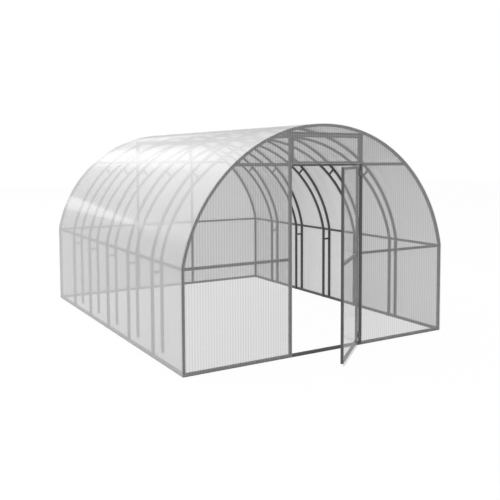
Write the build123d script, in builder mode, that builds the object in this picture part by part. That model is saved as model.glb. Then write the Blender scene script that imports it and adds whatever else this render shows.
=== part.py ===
# Straight-walled arched greenhouse: a welded frame of square steel tube under polycarbonate sheets.
# X runs across the width, Y from the front to the rear, Z up. The origin is under the middle of the front sill.
import os
from math import cos, radians, sin, sqrt

from build123d import *

# Overall form, over the sheets
width = 3000
length = 4000
height = 2181
wall_height = 932
bays = 6
front_bay_extra = 40

# Sheets
sheet = 4
seat = 0.3
sheet_lift = 3
sheet_joint = 2

# Tubes
tube = 25
inner_tube = 25
rail_height = 30
lintel_height = 30
head_height = 20

# Ladder arches: two tubes held apart by short spacers
ladder_gap = 68
spacer_width = 20
wall_spacer_drop = 133
arc_spacer_angles = (45, 90, 135)
weld_lap = 2

# Doorway and vents
door_opening = 800
lintel_bare = 16
post_bare = 20
header_gap = 2
vent_height = 270
vent_gap = 3
sash_tube = 20

# Door leaf, drawn open as it stands
door_open_angle = 42
door_clearance = 5
latch_gap = 10
leaf_tube = 25
skirt_lift = 10
drip_gap = 5

# Hinges
hinge_gap = 40
hinge_forward = 6
hinge_length = 50
hinge_depth = 33
barrel_radius = 8.5
barrel_lap = 1.5
pin_radius = 4
pin_clearance = 0.3
barrel_joint = 1
knuckle_relief = 2
upper_hinge_drop = 65
lower_hinge_rise = 65

# Worked out from the sizes above
half_width = width / 2
rise = height - wall_height
arch_radius = (half_width**2 + rise**2) / (2 * rise)
arch_centre = height - arch_radius
frame_inset = sheet + seat
frame_half_width = half_width - frame_inset
leg_x = frame_half_width - tube / 2
end_depth = frame_inset + tube / 2
frame_length = length - 2 * end_depth
bay = (frame_length - front_bay_extra) / bays
inner_inset = frame_inset + tube + ladder_gap
inner_leg_x = half_width - inner_inset - inner_tube / 2
end_arch_inner_radius = arch_radius - frame_inset - tube
post_inner = door_opening / 2
post_x = post_inner + tube / 2
post_outer = post_inner + tube
ladder_rows = [front_bay_extra + bay * (number + 1) for number in range(bays - 1)]

# The two end frames: name, place of the centre line, and the way that faces out
ends = (("front", 0, -1), ("rear", frame_length, 1))
walls = (("left", -1), ("right", 1))

os.makedirs("parts", exist_ok=True)


def save(piece, name):
    piece.part.label = name
    export_step(piece.part, f"parts/{name}.step")


def cross_plane(y):
    # Upright plane across the tunnel: its own x is X and its own y is Z
    return Plane(origin=(0, y, 0), x_dir=(1, 0, 0), z_dir=(0, -1, 0))


def arc_height(radius, across):
    # Height of an arc about the arch's centre, that far from the middle
    return arch_centre + sqrt(radius**2 - across**2)


def knee(inset):
    # Height where the straight wall meets the arc, that far inside the outer surface
    return arc_height(arch_radius - inset, half_width - inset)


def tunnel_outline(inset, foot):
    # Outline of the tunnel, that far inside its outer surface
    side = half_width - inset
    shoulder = knee(inset)
    crown = height - inset
    with BuildSketch(mode=Mode.PRIVATE) as outline:
        with BuildLine():
            Line((side, foot), (side, shoulder))
            ThreePointArc((side, shoulder), (0, crown), (-side, shoulder))
            Line((-side, shoulder), (-side, foot))
            Line((-side, foot), (side, foot))
        make_face()
    return outline.sketch


def arc_band(inset, depth):
    # Band of the arc from knee to knee, cut off level at its feet
    with BuildSketch(mode=Mode.PRIVATE) as band:
        with Locations((0, arch_centre)):
            Circle(arch_radius - inset)
            Circle(arch_radius - inset - depth, mode=Mode.SUBTRACT)
        with Locations((0, knee(inset))):
            Rectangle(width, height, align=(Align.CENTER, Align.MIN), mode=Mode.INTERSECT)
    return band.sketch


# Base rails: the front one is also the door's threshold
for end_name, line, out in ends:
    with BuildPart() as base_rail:
        with Locations((0, line, rail_height / 2)):
            Box(2 * frame_half_width, tube, rail_height)
    save(base_rail, f"base_rail_{end_name}")

for name, side in walls:
    with BuildPart() as base_rail:
        with Locations((side * leg_x, frame_length / 2, rail_height / 2)):
            Box(tube, frame_length - tube, rail_height)
    save(base_rail, f"base_rail_{name}")

# Knee rails along the walls, in lengths between the arches
leg_top = knee(frame_inset)
knee_rail_z = leg_top - tube / 2
arch_rows = [0, *ladder_rows, frame_length]
for name, side in walls:
    with BuildPart() as knee_rail:
        for start, end in zip(arch_rows, arch_rows[1:]):
            with Locations((side * leg_x, (start + end) / 2, knee_rail_z)):
                Box(tube, end - start - tube, tube)
    save(knee_rail, f"knee_rail_{name}")

# Single corner legs and end arches
for end_name, line, out in ends:
    with BuildPart() as corner_legs:
        with BuildSketch(Plane.XY.offset(rail_height)):
            with Locations((-leg_x, line), (leg_x, line)):
                Rectangle(tube, tube)
        extrude(amount=leg_top - rail_height)
    save(corner_legs, f"{end_name}_corner_legs")

    with BuildPart() as end_arch:
        with BuildSketch(cross_plane(line)):
            add(arc_band(frame_inset, tube))
        extrude(amount=tube / 2, both=True)
    save(end_arch, f"{end_name}_end_arch")

# Ladder legs: an outer tube, and an inner one with its spacer, in a row along each wall
inner_leg_top = knee(inner_inset)
spacer_length = weld_lap + ladder_gap - seat
spacer_x = half_width - inner_inset - weld_lap + spacer_length / 2
spacer_z = wall_height - wall_spacer_drop
for name, side in walls:
    with BuildPart() as ladder_legs:
        for row in ladder_rows:
            with BuildSketch(Plane.XY.offset(rail_height)):
                with Locations((side * leg_x, row)):
                    Rectangle(tube, tube)
            extrude(amount=leg_top - rail_height)
            with BuildSketch(Plane.XY.offset(rail_height)):
                with Locations((side * inner_leg_x, row)):
                    Rectangle(inner_tube, inner_tube)
            extrude(amount=inner_leg_top - rail_height)
            with Locations((side * spacer_x, row, spacer_z)):
                Box(spacer_length, spacer_width, spacer_width)
    save(ladder_legs, f"{name}_ladder_legs")

# Ladder arches: an outer arc, and an inner one with spacers at the haunches and the crown
spacer_radius = arch_radius - inner_inset - weld_lap + spacer_length / 2
for number, row in enumerate(ladder_rows):
    with BuildPart() as ladder_arch:
        with BuildSketch(cross_plane(row)):
            add(arc_band(frame_inset, tube))
        extrude(amount=tube / 2, both=True)
        with BuildSketch(cross_plane(row)):
            add(arc_band(inner_inset, inner_tube))
        extrude(amount=inner_tube / 2, both=True)
        with BuildSketch(cross_plane(row)):
            for angle in arc_spacer_angles:
                across = spacer_radius * cos(radians(angle))
                up = arch_centre + spacer_radius * sin(radians(angle))
                with Locations(Location((across, up), angle)):
                    Rectangle(spacer_length, spacer_width)
        extrude(amount=spacer_width / 2, both=True)
    save(ladder_arch, f"ladder_arch_{number + 1}")

# End walls: posts, knee rails, lintel, and the vent's header and sash
# The lintel is shallower over the doorway, where the sash sits right above it
header_top = arc_height(end_arch_inner_radius, post_inner) - header_gap
header_bottom = header_top - tube
head_top = header_bottom - vent_height
lintel_bottom = head_top - head_height
for end_name, line, out in ends:
    end_plane = cross_plane(line)
    for name, side in walls:
        with BuildPart() as post:
            with BuildSketch(end_plane):
                with Locations((side * post_x, rail_height)):
                    Rectangle(tube, height, align=(Align.CENTER, Align.MIN))
                with Locations((0, arch_centre)):
                    Circle(end_arch_inner_radius, mode=Mode.INTERSECT)
            extrude(amount=tube / 2, both=True)
        save(post, f"{end_name}_{name}_post")

    side_rail = leg_x - tube / 2 - post_outer
    with BuildPart() as end_knee_rail:
        for side in (-1, 1):
            with Locations((side * (post_outer + side_rail / 2), line, knee_rail_z)):
                Box(side_rail, tube, tube)
        if end_name == "rear":
            with Locations((0, line, knee_rail_z)):
                Box(door_opening, tube, tube)
    save(end_knee_rail, f"{end_name}_knee_rail")

    with BuildPart() as lintel:
        with BuildSketch(end_plane):
            with Locations((0, lintel_bottom)):
                Rectangle(width, lintel_height, align=(Align.CENTER, Align.MIN))
            with Locations((-post_x, lintel_bottom), (post_x, lintel_bottom)):
                Rectangle(tube, lintel_height, align=(Align.CENTER, Align.MIN), mode=Mode.SUBTRACT)
            with Locations((0, head_top)):
                Rectangle(door_opening, lintel_height, align=(Align.CENTER, Align.MIN), mode=Mode.SUBTRACT)
            with Locations((0, arch_centre)):
                Circle(end_arch_inner_radius, mode=Mode.INTERSECT)
        extrude(amount=tube / 2, both=True)
    save(lintel, f"{end_name}_lintel")

    with BuildPart() as vent_header:
        with Locations((0, line, header_bottom + tube / 2)):
            Box(door_opening, tube, tube)
    save(vent_header, f"{end_name}_vent_header")

    sash_width = door_opening - 2 * vent_gap
    sash_height = vent_height - 2 * vent_gap
    sash_z = (header_bottom + head_top) / 2
    with BuildPart() as vent_sash:
        with BuildSketch(end_plane):
            with Locations((0, sash_z)):
                Rectangle(sash_width, sash_height)
                Rectangle(sash_width - 2 * sash_tube, sash_height - 2 * sash_tube, mode=Mode.SUBTRACT)
        extrude(amount=tube / 2, both=True)
    save(vent_sash, f"{end_name}_vent_sash")

# End sheets: flat, inside the cover's edge, and split at the posts
sheet_break = lintel_bottom + lintel_bare
vent_sheet_top = (header_bottom + header_top) / 2
for end_name, line, out in ends:
    sheet_plane = cross_plane(line + out * (end_depth - sheet / 2))
    for name, side in walls:
        with BuildPart() as side_sheet:
            with BuildSketch(sheet_plane):
                add(tunnel_outline(frame_inset, sheet_lift))
                with Locations((side * half_width, 0)):
                    reach = half_width - (post_inner if end_name == "front" else post_x)
                    Rectangle(2 * reach, 2 * height, mode=Mode.INTERSECT)
                if end_name == "front" and name == "right":
                    with Locations((side * post_inner, 0)):
                        Rectangle(2 * post_bare, 2 * sheet_break, mode=Mode.SUBTRACT)
            extrude(amount=sheet / 2, both=True)
        save(side_sheet, f"{end_name}_{name}_sheet")

    sheet_half = (post_inner if end_name == "front" else post_x) - sheet_joint
    with BuildPart() as vent_sheet:
        with BuildSketch(sheet_plane):
            with Locations((0, sheet_break)):
                Rectangle(2 * sheet_half, vent_sheet_top - sheet_break, align=(Align.CENTER, Align.MIN))
        extrude(amount=sheet / 2, both=True)
    save(vent_sheet, f"{end_name}_vent_sheet")

    with BuildPart() as crown_sheet:
        with BuildSketch(sheet_plane):
            add(tunnel_outline(frame_inset, sheet_lift))
            with Locations((0, vent_sheet_top + sheet_joint)):
                Rectangle(2 * sheet_half, height, align=(Align.CENTER, Align.MIN), mode=Mode.INTERSECT)
        extrude(amount=sheet / 2, both=True)
    save(crown_sheet, f"{end_name}_crown_sheet")

with BuildPart() as rear_middle_sheet:
    with BuildSketch(cross_plane(frame_length + end_depth - sheet / 2)):
        with Locations((0, sheet_lift)):
            middle_height = sheet_break - sheet_joint - sheet_lift
            Rectangle(2 * (post_x - sheet_joint), middle_height, align=(Align.CENTER, Align.MIN))
    extrude(amount=sheet / 2, both=True)
save(rear_middle_sheet, "rear_middle_sheet")

# Cover sheets: each is bent from the ground over the arches to the ground again
cover_length = (length - sheet_joint) / 2
for end_name, line, out in ends:
    with BuildPart() as cover_sheet:
        with BuildSketch(cross_plane(line + out * (end_depth - cover_length / 2))):
            add(tunnel_outline(0, sheet_lift))
            add(tunnel_outline(sheet, sheet_lift), mode=Mode.SUBTRACT)
        extrude(amount=cover_length / 2, both=True)
    save(cover_sheet, f"cover_sheet_{end_name}")

# Door leaf, drawn on its own upright plane: x runs from the hinge pin along the leaf, y is up
# The middle rail lines up with the knee rails
leaf_front = tube / 2 + door_clearance - seat
pin_x = post_inner - hinge_gap / 2
pin_y = leaf_front + sheet / 2 + seat + hinge_forward
leaf_dir = (-cos(radians(door_open_angle)), -sin(radians(door_open_angle)), 0)
leaf_in = (-sin(radians(door_open_angle)), cos(radians(door_open_angle)), 0)
leaf_plane = Plane(origin=(pin_x, -pin_y, 0), x_dir=leaf_dir, z_dir=leaf_in)
leaf_start = hinge_gap / 2
leaf_width = door_opening - hinge_gap - latch_gap
leaf_bottom = rail_height + door_clearance
leaf_top = lintel_bottom - door_clearance
frame_offset = pin_y - leaf_front

with BuildPart() as door_stiles:
    with BuildSketch(leaf_plane.offset(frame_offset)):
        for start in (leaf_start, leaf_start + leaf_width - leaf_tube):
            with Locations((start, leaf_bottom)):
                Rectangle(leaf_tube, leaf_top - leaf_bottom, align=(Align.MIN, Align.MIN))
    extrude(amount=leaf_tube)
save(door_stiles, "door_stiles")

rail_length = leaf_width - 2 * leaf_tube
with BuildPart() as door_rails:
    with BuildSketch(leaf_plane.offset(frame_offset)):
        for level in (leaf_bottom, knee_rail_z - leaf_tube / 2, leaf_top - leaf_tube):
            with Locations((leaf_start + leaf_tube, level)):
                Rectangle(rail_length, leaf_tube, align=(Align.MIN, Align.MIN))
    extrude(amount=leaf_tube)
save(door_rails, "door_rails")

door_sheet_top = sheet_break - drip_gap
with BuildPart() as door_sheet:
    with BuildSketch(leaf_plane.offset(frame_offset - seat - sheet)):
        with Locations((leaf_start, skirt_lift)):
            Rectangle(leaf_width, door_sheet_top - skirt_lift, align=(Align.MIN, Align.MIN))
    extrude(amount=sheet)
save(door_sheet, "door_sheet")

# Hinges: the lower barrel and the pin are on the post, the upper barrel is on the leaf
hinge_plate = hinge_gap / 2 - barrel_radius + barrel_lap
barrel_length = (hinge_length - barrel_joint) / 2
plate_start = barrel_radius + knuckle_relief
hinge_levels = (leaf_bottom + lower_hinge_rise, leaf_top - upper_hinge_drop)
post_plane = Plane(origin=(pin_x, -pin_y, 0), x_dir=(1, 0, 0), z_dir=(0, 0, 1))
swing_plane = Plane(origin=(pin_x, -pin_y, 0), x_dir=leaf_dir, z_dir=(0, 0, 1))

with BuildPart() as hinge_pins:
    for level in hinge_levels:
        with BuildSketch(post_plane.offset(level - hinge_length / 2)):
            Circle(barrel_radius)
            with Locations((hinge_gap / 2 - hinge_plate, 0)):
                Rectangle(hinge_plate, plate_start + weld_lap, align=(Align.MIN, Align.MIN))
        extrude(amount=barrel_length)
        with BuildSketch(post_plane.offset(level - hinge_length / 2)):
            with Locations((hinge_gap / 2 - hinge_plate, plate_start)):
                Rectangle(hinge_plate, hinge_depth - plate_start, align=(Align.MIN, Align.MIN))
        extrude(amount=hinge_length)
        with BuildSketch(post_plane.offset(level - hinge_length / 2)):
            Circle(pin_radius)
        extrude(amount=hinge_length)
save(hinge_pins, "door_hinge_pins")

with BuildPart() as hinge_knuckles:
    for level in hinge_levels:
        with BuildSketch(swing_plane.offset(level + barrel_joint / 2)):
            Circle(barrel_radius)
            with Locations((leaf_start - hinge_plate, 0)):
                Rectangle(hinge_plate, plate_start + weld_lap, align=(Align.MIN, Align.MAX))
            Circle(pin_radius + pin_clearance, mode=Mode.SUBTRACT)
        extrude(amount=barrel_length)
        with BuildSketch(swing_plane.offset(level - hinge_length / 2)):
            with Locations((leaf_start - hinge_plate, -plate_start)):
                Rectangle(hinge_plate, hinge_depth - plate_start, align=(Align.MIN, Align.MAX))
        extrude(amount=hinge_length)
save(hinge_knuckles, "door_hinge_knuckles")
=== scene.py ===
import math

import bmesh
import bpy
from mathutils import Matrix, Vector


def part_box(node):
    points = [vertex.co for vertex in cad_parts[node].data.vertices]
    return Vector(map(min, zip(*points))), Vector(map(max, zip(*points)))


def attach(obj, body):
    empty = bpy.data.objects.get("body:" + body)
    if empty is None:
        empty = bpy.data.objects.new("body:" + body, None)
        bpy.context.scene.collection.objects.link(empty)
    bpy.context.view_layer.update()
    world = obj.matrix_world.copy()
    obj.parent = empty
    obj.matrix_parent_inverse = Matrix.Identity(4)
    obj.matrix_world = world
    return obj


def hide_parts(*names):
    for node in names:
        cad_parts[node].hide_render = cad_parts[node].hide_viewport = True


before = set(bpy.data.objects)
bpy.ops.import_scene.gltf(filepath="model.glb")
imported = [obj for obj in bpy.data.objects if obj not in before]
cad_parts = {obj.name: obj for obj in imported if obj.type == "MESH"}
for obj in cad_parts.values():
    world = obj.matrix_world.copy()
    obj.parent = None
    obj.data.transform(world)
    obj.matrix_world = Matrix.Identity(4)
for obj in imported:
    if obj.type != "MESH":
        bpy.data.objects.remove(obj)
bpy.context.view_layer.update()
scene = bpy.context.scene
scene.view_settings.view_transform = "Standard"
print("frame loaded,", len(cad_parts), "nodes")

# the cover's outline in metres: upright walls to the knee, one round arch above them
coverLow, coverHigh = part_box("cover_sheet_front")
tunnel = {
    "halfWidth": coverHigh.x,
    "crown": coverHigh.z,
    "knee": 0.932,
    "foot": coverLow.z,
    "sheet": 0.004,
}
rise = tunnel["crown"] - tunnel["knee"]
archRadius = (tunnel["halfWidth"] ** 2 + rise ** 2) / (2 * rise)
archCentre = tunnel["crown"] - archRadius


# small helpers

mergeDistance = 0.00001


def grey(level):
    return (level, level, level)


def linkNodes(tree, fromNode, fromName, toNode, toName):
    tree.links.new(fromNode.outputs[fromName], toNode.inputs[toName])


def newMaterial(name):
    material = bpy.data.materials.new(name)
    material.use_nodes = True
    material.node_tree.nodes.clear()
    return material, material.node_tree


def addNode(tree, kind, **values):
    node = tree.nodes.new(kind)
    for key, value in values.items():
        setattr(node, key, value)
    return node


def newPiece(name, bm, material, body):
    bmesh.ops.remove_doubles(bm, verts=bm.verts, dist=mergeDistance)
    mesh = bpy.data.meshes.new(name)
    bm.to_mesh(mesh)
    bm.free()
    piece = bpy.data.objects.new(name, mesh)
    scene.collection.objects.link(piece)
    mesh.materials.append(material)
    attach(piece, body)
    return piece


# shared effects as node groups

def makeGroup(name, inputs, outputs):
    group = bpy.data.node_groups.new(name, "ShaderNodeTree")
    for title, kind, value in inputs:
        socket = group.interface.new_socket(title, in_out="INPUT", socket_type=kind)
        socket.default_value = value
    for title, kind in outputs:
        group.interface.new_socket(title, in_out="OUTPUT", socket_type=kind)
    return group, group.nodes.new("NodeGroupInput"), group.nodes.new("NodeGroupOutput")


mottleDetail = {"Patches": 3.0, "Grain": 2.0}


def makeMottleGroup():
    # soft uneven patches over a surface, 0 to 1, and a fine grain beside them
    group, given, out = makeGroup(
        "mottle",
        [(f"{title} Scale", "NodeSocketFloat", 1.0) for title in mottleDetail],
        [(title, "NodeSocketFloat") for title in mottleDetail],
    )
    where = group.nodes.new("ShaderNodeTexCoord")
    for title, detail in mottleDetail.items():
        noise = addNode(group, "ShaderNodeTexNoise", noise_dimensions="3D")
        noise.inputs["Detail"].default_value = detail
        linkNodes(group, where, "Object", noise, "Vector")
        linkNodes(group, given, f"{title} Scale", noise, "Scale")
        linkNodes(group, noise, "Fac", out, title)
    return group


mottleGroup = makeMottleGroup()


def addMottle(tree, look):
    node = addNode(tree, "ShaderNodeGroup", node_tree=mottleGroup)
    node.inputs["Patches Scale"].default_value = look["patchScale"]
    return node


def addRange(tree, fromNode, fromName, low, high):
    node = tree.nodes.new("ShaderNodeMapRange")
    node.inputs["To Min"].default_value = low
    node.inputs["To Max"].default_value = high
    linkNodes(tree, fromNode, fromName, node, "Value")
    return node


# a Mix node's colour sockets, by their places
mixDark, mixLight, mixResult = 6, 7, 2


def addColourMix(tree, fromNode, fromName, dark, light):
    node = addNode(tree, "ShaderNodeMix", data_type="RGBA")
    linkNodes(tree, fromNode, fromName, node, "Factor")
    node.inputs[mixDark].default_value = (*dark, 1)
    node.inputs[mixLight].default_value = (*light, 1)
    return node


# the tubes' paint

paint = {
    "dark": (0.068, 0.068, 0.070),
    "light": (0.088, 0.088, 0.090),
    "patchScale": 5.0,
    "grainScale": 900.0,
    "roughness": (0.36, 0.48),
    "grainStrength": 0.12,
    "grainDepth": 0.0004,
}


def makePaint(name, look):
    material, tree = newMaterial(name)
    mottle = addMottle(tree, look)
    mottle.inputs["Grain Scale"].default_value = look["grainScale"]
    colour = addColourMix(tree, mottle, "Patches", look["dark"], look["light"])
    rough = addRange(tree, mottle, "Patches", *look["roughness"])
    bump = tree.nodes.new("ShaderNodeBump")
    bump.inputs["Strength"].default_value = look["grainStrength"]
    bump.inputs["Distance"].default_value = look["grainDepth"]
    linkNodes(tree, mottle, "Grain", bump, "Height")
    surface = tree.nodes.new("ShaderNodeBsdfPrincipled")
    tree.links.new(colour.outputs[mixResult], surface.inputs["Base Color"])
    linkNodes(tree, rough, "Result", surface, "Roughness")
    linkNodes(tree, bump, "Normal", surface, "Normal")
    out = tree.nodes.new("ShaderNodeOutputMaterial")
    linkNodes(tree, surface, "BSDF", out, "Surface")
    return material


framePaint = makePaint("frame_paint", paint)

hingePaint = dict(paint, dark=(0.10, 0.10, 0.105), light=(0.16, 0.16, 0.165), roughness=(0.3, 0.42))
hingeSteel = makePaint("hinge_steel", hingePaint)


# the twin-wall sheets: the cover mists over as the eye grazes it, the flat ends stay clear

flutes = {
    "pitch": 0.026,  # from rib to rib
    "web": 0.0004,  # how thick a rib is
    "skin": 0.0005,  # each outer wall of a sheet
    "margin": 0.008,  # kept free along a sheet's edge
    "arcSteps": 80,
}
doorLeaf = {
    "pin": (0.380, -0.0255),  # where the hinges turn
    "open": math.radians(42),
    "start": 0.020,  # the sheet's edges, along the leaf from the pin
    "end": 0.770,
    "sheetDepth": 0.006,  # the sheet's middle, square to the leaf
    "bareStrip": 0.020,  # the hinge post's part that no sheet covers, below the vent
    "bottom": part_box("door_sheet")[0].z,
    "top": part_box("door_sheet")[1].z,
}


def makeFluteGroup():
    # light and dark lines across a sheet, one for each cell between its ribs
    group, given, out = makeGroup(
        "fluteLines",
        [("Across", "NodeSocketVector", (1.0, 0.0, 0.0))],
        [("Lines", "NodeSocketFloat")],
    )
    where = group.nodes.new("ShaderNodeTexCoord")
    along = addNode(group, "ShaderNodeVectorMath", operation="DOT_PRODUCT")
    linkNodes(group, where, "Object", along, 0)
    linkNodes(group, given, "Across", along, 1)
    phase = addNode(group, "ShaderNodeMath", operation="MULTIPLY")
    linkNodes(group, along, "Value", phase, 0)
    phase.inputs[1].default_value = 2 * math.pi / flutes["pitch"]
    wave = addNode(group, "ShaderNodeMath", operation="SINE")
    linkNodes(group, phase, "Value", wave, 0)
    lines = group.nodes.new("ShaderNodeMapRange")
    lines.inputs["From Min"].default_value = -1.0
    linkNodes(group, wave, "Value", lines, "Value")
    linkNodes(group, lines, "Result", out, "Lines")
    return group


fluteGroup = makeFluteGroup()

coverSheet = {
    "across": (0, 1, 0),  # the way the ribs follow one another
    "angles": (0.28, 0.60),  # from square on, 0, to grazing, 1
    "share": (0.05, 0.72),  # how much is mist at those angles
    "tint": (0.68, 0.80),  # what the clear part lets through
    "milkWithPaintedLight": (0.51, 0.64),  # the mist's colour, with painted shade in it: kept darker on the cover, since the overhead lamps light the roof most
    "patches": 0.3,  # how far patches take the place of the ribs' lines
    "glow": 0.20,
    "ior": 1.58,
    "roughness": 0.30,
    "coat": 1.0,
    "coatRoughness": 0.08,
    "patchScale": 1.7,
}
# painted light: the flat ends and the door leaf take a lighter mist colour than the cover, standing in for
# the light that falls less on upright sheets
endSheet = dict(coverSheet, across=(1, 0, 0), share=(0.28, 0.32), milkWithPaintedLight=(0.66, 0.98))
doorAcross = (math.cos(doorLeaf["open"]), math.sin(doorLeaf["open"]), 0)
doorSheet = dict(endSheet, across=doorAcross, tint=(0.72, 0.76), milkWithPaintedLight=(0.78, 0.88))
ribLook = dict(endSheet, share=0.004, tint=(0.95, 0.97))


def makeSheet(name, look):
    material, tree = newMaterial(name)
    mottle = addMottle(tree, look)
    lines = addNode(tree, "ShaderNodeGroup", node_tree=fluteGroup)
    lines.inputs["Across"].default_value = look["across"]
    blend = addNode(tree, "ShaderNodeMix", data_type="FLOAT")
    blend.inputs["Factor"].default_value = look["patches"]
    tree.links.new(lines.outputs["Lines"], blend.inputs["A"])
    tree.links.new(mottle.outputs["Patches"], blend.inputs["B"])
    tint = addColourMix(tree, blend, "Result", *map(grey, look["tint"]))
    # the mist colour carries painted light, lighter on the upright sheets than on the roof
    milkWithPaintedLight = addColourMix(tree, blend, "Result", *map(grey, look["milkWithPaintedLight"]))
    through = tree.nodes.new("ShaderNodeBsdfTransparent")
    tree.links.new(tint.outputs[mixResult], through.inputs["Color"])
    skin = tree.nodes.new("ShaderNodeBsdfPrincipled")
    tree.links.new(milkWithPaintedLight.outputs[mixResult], skin.inputs["Base Color"])
    skin.inputs["Roughness"].default_value = look["roughness"]
    skin.inputs["IOR"].default_value = look["ior"]
    skin.inputs["Coat Weight"].default_value = look["coat"]
    skin.inputs["Coat Roughness"].default_value = look["coatRoughness"]
    # daylight that soaks through from the other side
    glow = tree.nodes.new("ShaderNodeBsdfTranslucent")
    tree.links.new(milkWithPaintedLight.outputs[mixResult], glow.inputs["Color"])
    milky = tree.nodes.new("ShaderNodeMixShader")
    milky.inputs["Fac"].default_value = look["glow"]
    tree.links.new(skin.outputs[0], milky.inputs[1])
    tree.links.new(glow.outputs[0], milky.inputs[2])
    body = tree.nodes.new("ShaderNodeMixShader")
    if isinstance(look["share"], tuple):
        angle = tree.nodes.new("ShaderNodeLayerWeight")
        share = addRange(tree, angle, "Facing", *look["share"])
        share.inputs["From Min"].default_value, share.inputs["From Max"].default_value = look["angles"]
        linkNodes(tree, share, "Result", body, "Fac")
    else:
        body.inputs["Fac"].default_value = look["share"]
    tree.links.new(through.outputs[0], body.inputs[1])
    tree.links.new(milky.outputs[0], body.inputs[2])
    # a slab counts once, at the face where sight enters it
    facing = tree.nodes.new("ShaderNodeNewGeometry")
    passing = tree.nodes.new("ShaderNodeBsdfTransparent")
    whole = tree.nodes.new("ShaderNodeMixShader")
    linkNodes(tree, facing, "Backfacing", whole, "Fac")
    tree.links.new(body.outputs[0], whole.inputs[1])
    tree.links.new(passing.outputs[0], whole.inputs[2])
    out = tree.nodes.new("ShaderNodeOutputMaterial")
    tree.links.new(whole.outputs[0], out.inputs["Surface"])
    return material


coverLook = makeSheet("cover_sheet_clear", coverSheet)
endLook = makeSheet("end_sheet_clear", endSheet)
doorLook = makeSheet("door_sheet_clear", doorSheet)
fluteLook = makeSheet("flute_rib", ribLook)
print("materials made")


# finishes on the CAD pieces, with the tubes' corners rounded

tubeCorner = {
    "radius": 0.0018,
    "segments": 2,
    "weld": 0.00002,
    "flat": math.radians(2),  # faces that count as one
    "sharp": math.radians(40),  # edges that get rounded
}


def roundCorners(piece):
    weld = piece.modifiers.new("weld", "WELD")
    weld.merge_threshold = tubeCorner["weld"]
    flat = piece.modifiers.new("flat", "DECIMATE")
    flat.decimate_type = "DISSOLVE"
    flat.angle_limit = tubeCorner["flat"]
    corner = piece.modifiers.new("corner", "BEVEL")
    corner.width = tubeCorner["radius"]
    corner.segments = tubeCorner["segments"]
    corner.limit_method = "ANGLE"
    corner.angle_limit = tubeCorner["sharp"]


sheetNodes = [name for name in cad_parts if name.endswith("_sheet") or name.startswith("cover_sheet")]
for name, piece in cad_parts.items():
    if name in sheetNodes:
        finish = doorLook if name == "door_sheet" else endLook
    elif "hinge" in name:
        finish = hingeSteel
    else:
        finish = framePaint
        roundCorners(piece)
    piece.data.materials.clear()
    piece.data.materials.append(finish)
print("CAD pieces dressed")


# the cover, bent smooth over the arches

cover = {"arcSteps": 160, "smooth": math.radians(30)}


def archLine(bm, inset, y, steps):
    # one line from the right foot over the crown to the left foot, that far inside the outer face
    side = tunnel["halfWidth"] - inset
    shoulder = archCentre + math.sqrt((archRadius - inset) ** 2 - side ** 2)
    start = bm.verts.new((side, y, shoulder))
    sweep = math.pi - 2 * math.asin((shoulder - archCentre) / (archRadius - inset))
    turned = bmesh.ops.spin(
        bm, geom=[start], cent=(0, y, archCentre), axis=(0, -1, 0), angle=sweep,
        steps=steps, use_duplicate=False,
    )
    end = [item for item in turned["geom_last"] if isinstance(item, bmesh.types.BMVert)]
    feet = bmesh.ops.extrude_vert_indiv(bm, verts=[start, *end])
    bmesh.ops.translate(bm, verts=feet["verts"], vec=(0, 0, tunnel["foot"] - shoulder))


def makeCover(name, node):
    low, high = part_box(node)
    bm = bmesh.new()
    archLine(bm, 0, low.y, cover["arcSteps"])
    pulled = bmesh.ops.extrude_edge_only(bm, edges=bm.edges[:])
    moved = [item for item in pulled["geom"] if isinstance(item, bmesh.types.BMVert)]
    bmesh.ops.translate(bm, verts=moved, vec=(0, high.y - low.y, 0))
    bmesh.ops.recalc_face_normals(bm, faces=bm.faces)
    middle = min(bm.faces, key=lambda face: abs(face.calc_center_median().x))
    if middle.normal.z < 0:
        bmesh.ops.reverse_faces(bm, faces=bm.faces)
    bmesh.ops.solidify(bm, geom=bm.faces[:], thickness=tunnel["sheet"])
    bmesh.ops.recalc_face_normals(bm, faces=bm.faces)
    for edge in bm.edges:
        edge.smooth = edge.calc_face_angle(0) < cover["smooth"]
    for face in bm.faces:
        face.smooth = True
    piece = newPiece(name, bm, coverLook, "frame")
    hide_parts(node)


makeCover("roof_cover_front", "cover_sheet_front")
makeCover("roof_cover_rear", "cover_sheet_rear")
print("cover bent")


# the ribs inside the twin-wall sheets, upright on the ends and round the arch on the cover

doorFrame = Matrix.Translation((*doorLeaf["pin"], 0)) @ Matrix.Rotation(doorLeaf["open"], 4, "Z")


def archHeight(across):
    return archCentre + math.sqrt(archRadius ** 2 - across ** 2)


def spacedOut(first, last, pitch):
    count = int((last - first - 2 * flutes["margin"]) / pitch)
    slack = (last - first - count * pitch) / 2
    return [first + slack + step * pitch for step in range(count + 1)]


def addRib(bm, across, depth, bottom, top, place=Matrix()):
    size = Matrix.Diagonal((flutes["web"], tunnel["sheet"] - 2 * flutes["skin"], top - bottom, 1))
    spot = Matrix.Translation((across, depth, (bottom + top) / 2))
    bmesh.ops.create_cube(bm, size=1, matrix=place @ spot @ size)


def makeEndFlutes(name, *sheets):
    bm = bmesh.new()
    for node in sheets:
        low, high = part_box(node)
        depth = (low.y + high.y) / 2
        for across in spacedOut(low.x, high.x, flutes["pitch"]):
            overPost = node == "front_right_sheet" and across - low.x < doorLeaf["bareStrip"]
            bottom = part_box("front_vent_sheet")[0].z if overPost else low.z
            top = archHeight(across) - flutes["margin"]
            addRib(bm, across, depth, bottom + flutes["skin"], top)
    newPiece(name, bm, fluteLook, "frame")


def makeDoorFlutes(name):
    bm = bmesh.new()
    for along in spacedOut(doorLeaf["start"], doorLeaf["end"], flutes["pitch"]):
        bottom, top = doorLeaf["bottom"] + flutes["skin"], doorLeaf["top"] - flutes["skin"]
        addRib(bm, -along, doorLeaf["sheetDepth"], bottom, top, doorFrame)
    newPiece(name, bm, fluteLook, "door")


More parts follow.
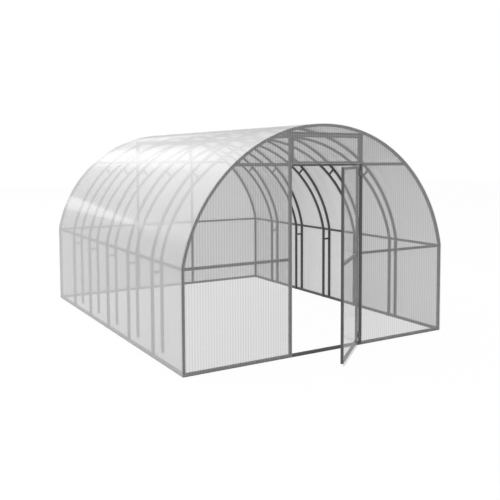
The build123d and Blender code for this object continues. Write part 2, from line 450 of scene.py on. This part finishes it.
def makeCoverFlutes(name, node):
    low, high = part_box(node)
    places = spacedOut(low.y, high.y, flutes["pitch"])
    bm = bmesh.new()
    archLine(bm, flutes["skin"], places[0], flutes["arcSteps"])
    archLine(bm, tunnel["sheet"] - flutes["skin"], places[0], flutes["arcSteps"])
    bmesh.ops.bridge_loops(bm, edges=bm.edges[:])
    bmesh.ops.solidify(bm, geom=bm.faces[:], thickness=flutes["web"])
    bmesh.ops.recalc_face_normals(bm, faces=bm.faces)
    piece = newPiece(name, bm, fluteLook, "frame")
    row = piece.modifiers.new("row", "ARRAY")
    row.count = len(places)
    row.use_relative_offset = False
    row.use_constant_offset = True
    row.constant_offset_displace = (0, flutes["pitch"], 0)


makeEndFlutes("front_end_flutes", "front_left_sheet", "front_right_sheet", "front_vent_sheet")
makeEndFlutes("rear_end_flutes", "rear_left_sheet", "rear_right_sheet", "rear_middle_sheet")
makeDoorFlutes("door_flutes")
makeCoverFlutes("cover_flutes_front", "cover_sheet_front")
makeCoverFlutes("cover_flutes_rear", "cover_sheet_rear")
print("flutes laid")


# floor, light and camera

stage = {
    "floorHalf": 40.0,
    "floorWhite": 0.96,
    "floorShade": 0.88,
    "fill": 0.74,
    "clearBounces": (16, 64),  # sight passes many clear faces, none of the first ones dropped at random
}


def showsBackground(tree):
    # 1 for the eye, for mirror images and for sight through glass
    path = tree.nodes.new("ShaderNodeLightPath")
    first = addNode(tree, "ShaderNodeMath", operation="MAXIMUM")
    second = addNode(tree, "ShaderNodeMath", operation="MAXIMUM")
    tree.links.new(path.outputs["Is Camera Ray"], first.inputs[0])
    tree.links.new(path.outputs["Is Glossy Ray"], first.inputs[1])
    tree.links.new(first.outputs[0], second.inputs[0])
    tree.links.new(path.outputs["Is Transmission Ray"], second.inputs[1])
    return second


def makeFloor():
    bm = bmesh.new()
    bmesh.ops.create_grid(bm, x_segments=1, y_segments=1, size=stage["floorHalf"])
    mesh = bpy.data.meshes.new("floor")
    bm.to_mesh(mesh)
    bm.free()
    floor = bpy.data.objects.new("floor", mesh)
    scene.collection.objects.link(floor)
    material, tree = newMaterial("floor_white")
    plain = tree.nodes.new("ShaderNodeBsdfDiffuse")
    plain.inputs["Color"].default_value = (*grey(stage["floorShade"]), 1)
    white = tree.nodes.new("ShaderNodeEmission")
    seen = showsBackground(tree)
    share = addNode(tree, "ShaderNodeMath", operation="MULTIPLY")
    tree.links.new(seen.outputs[0], share.inputs[0])
    share.inputs[1].default_value = stage["floorWhite"]
    mixed = tree.nodes.new("ShaderNodeMixShader")
    tree.links.new(share.outputs[0], mixed.inputs["Fac"])
    tree.links.new(plain.outputs[0], mixed.inputs[1])
    tree.links.new(white.outputs[0], mixed.inputs[2])
    out = tree.nodes.new("ShaderNodeOutputMaterial")
    tree.links.new(mixed.outputs[0], out.inputs["Surface"])
    mesh.materials.append(material)


def makeWorld():
    world = bpy.data.worlds.new("studio")
    scene.world = world
    world.use_nodes = True
    tree = world.node_tree
    tree.nodes.clear()
    fill = tree.nodes.new("ShaderNodeBackground")
    fill.inputs["Strength"].default_value = stage["fill"]
    white = tree.nodes.new("ShaderNodeBackground")
    fill.inputs["Color"].default_value = (1, 1, 1, 1)
    white.inputs["Color"].default_value = (1, 1, 1, 1)
    mixed = tree.nodes.new("ShaderNodeMixShader")
    tree.links.new(showsBackground(tree).outputs[0], mixed.inputs["Fac"])
    tree.links.new(fill.outputs[0], mixed.inputs[1])
    tree.links.new(white.outputs[0], mixed.inputs[2])
    out = tree.nodes.new("ShaderNodeOutputWorld")
    tree.links.new(mixed.outputs[0], out.inputs["Surface"])


# softboxes overhead; a side that fades gives the share of the size it takes and the level left at its edge
softboxes = {
    "ceiling": {
        "place": (-2.0, 12.0, 6.0), "size": (18.8, 32.0), "radiance": 0.95,
        "right": (0.50, 0), "far": (0.69, 0),
    },
    "side": {
        "place": (-8.2, 29.0, 6.0), "size": (6.4, 38.0), "radiance": 1.45,
        "right": (0.4, 0), "near": (0.2, 0), "far": (0.7, 0.3),
    },
    "strip": {
        "place": (0.3, 15.0, 5.8), "size": (3.8, 18.0), "radiance": 1.00,
        "left": (0.35, 0), "right": (0.55, 0), "near": (0.3, 0), "far": (0.5, 0),
    },
    "crown": {
        "place": (5.4, 20.5, 5.8), "size": (8.0, 14.0), "radiance": 0.75,
        "left": (0.5, 0), "right": (0.5, 0), "near": (0.5, 0), "far": (0.5, 0),
    },
    "streak": {
        "place": (-10.2, 26.5, 6.0), "size": (2.4, 17.0), "radiance": 13.0,
        "right": (0.8, 0), "near": (0.15, 0), "far": (0.7, 0),
    },
}
# each side's axis over the lamp, its edge there and the way inwards
boxSides = (("left", "X", 0, 1), ("right", "X", 1, -1), ("near", "Y", 0, 1), ("far", "Y", 1, -1))


def fadeOut(lamp, look):
    lamp.use_nodes = True
    tree = lamp.node_tree
    glow = next(node for node in tree.nodes if node.type == "EMISSION")
    where = tree.nodes.new("ShaderNodeNewGeometry")
    parts = tree.nodes.new("ShaderNodeSeparateXYZ")
    linkNodes(tree, where, "Parametric", parts, "Vector")
    fades = []
    for side, axis, edge, inward in boxSides:
        if side in look:
            share, level = look[side]
            fade = addRange(tree, parts, axis, level, 1)
            fade.interpolation_type = "SMOOTHSTEP"
            fade.inputs["From Min"].default_value = edge
            fade.inputs["From Max"].default_value = edge + inward * share
            fades.append(fade)
    strength = fades[0].outputs["Result"]
    for fade in fades[1:]:
        product = addNode(tree, "ShaderNodeMath", operation="MULTIPLY")
        tree.links.new(strength, product.inputs[0])
        tree.links.new(fade.outputs["Result"], product.inputs[1])
        strength = product.outputs["Value"]
    tree.links.new(strength, glow.inputs["Strength"])


def makeSoftbox(name, look):
    lamp = bpy.data.lights.new(name, "AREA")
    lamp.shape = "RECTANGLE"
    lamp.size, lamp.size_y = look["size"]
    lamp.energy = look["radiance"] * math.pi * lamp.size * lamp.size_y
    fadeOut(lamp, look)
    box = bpy.data.objects.new(name, lamp)
    box.location = look["place"]
    box.visible_camera = False
    scene.collection.objects.link(box)


cameraSetup = {
    "place": (-3.7945, -5.2841, 1.8484),
    "yaw": 32.874,
    "pitch": -3.906,
    "sensor": 36,
    "lens": 49.292,
    "shift": (-0.08616, -0.08916),
}


def makeCamera():
    lens = bpy.data.cameras.new("camera")
    lens.sensor_width = cameraSetup["sensor"]
    lens.lens = cameraSetup["lens"]
    lens.shift_x, lens.shift_y = cameraSetup["shift"]
    camera = bpy.data.objects.new("camera", lens)
    camera.location = cameraSetup["place"]
    camera.rotation_euler = (
        math.radians(90 + cameraSetup["pitch"]), 0, -math.radians(cameraSetup["yaw"]),
    )
    scene.collection.objects.link(camera)
    scene.camera = camera


makeFloor()
makeWorld()
for title, look in softboxes.items():
    makeSoftbox(title, look)
makeCamera()
scene.cycles.min_transparent_bounces, scene.cycles.transparent_max_bounces = stage["clearBounces"]
print("stage set")
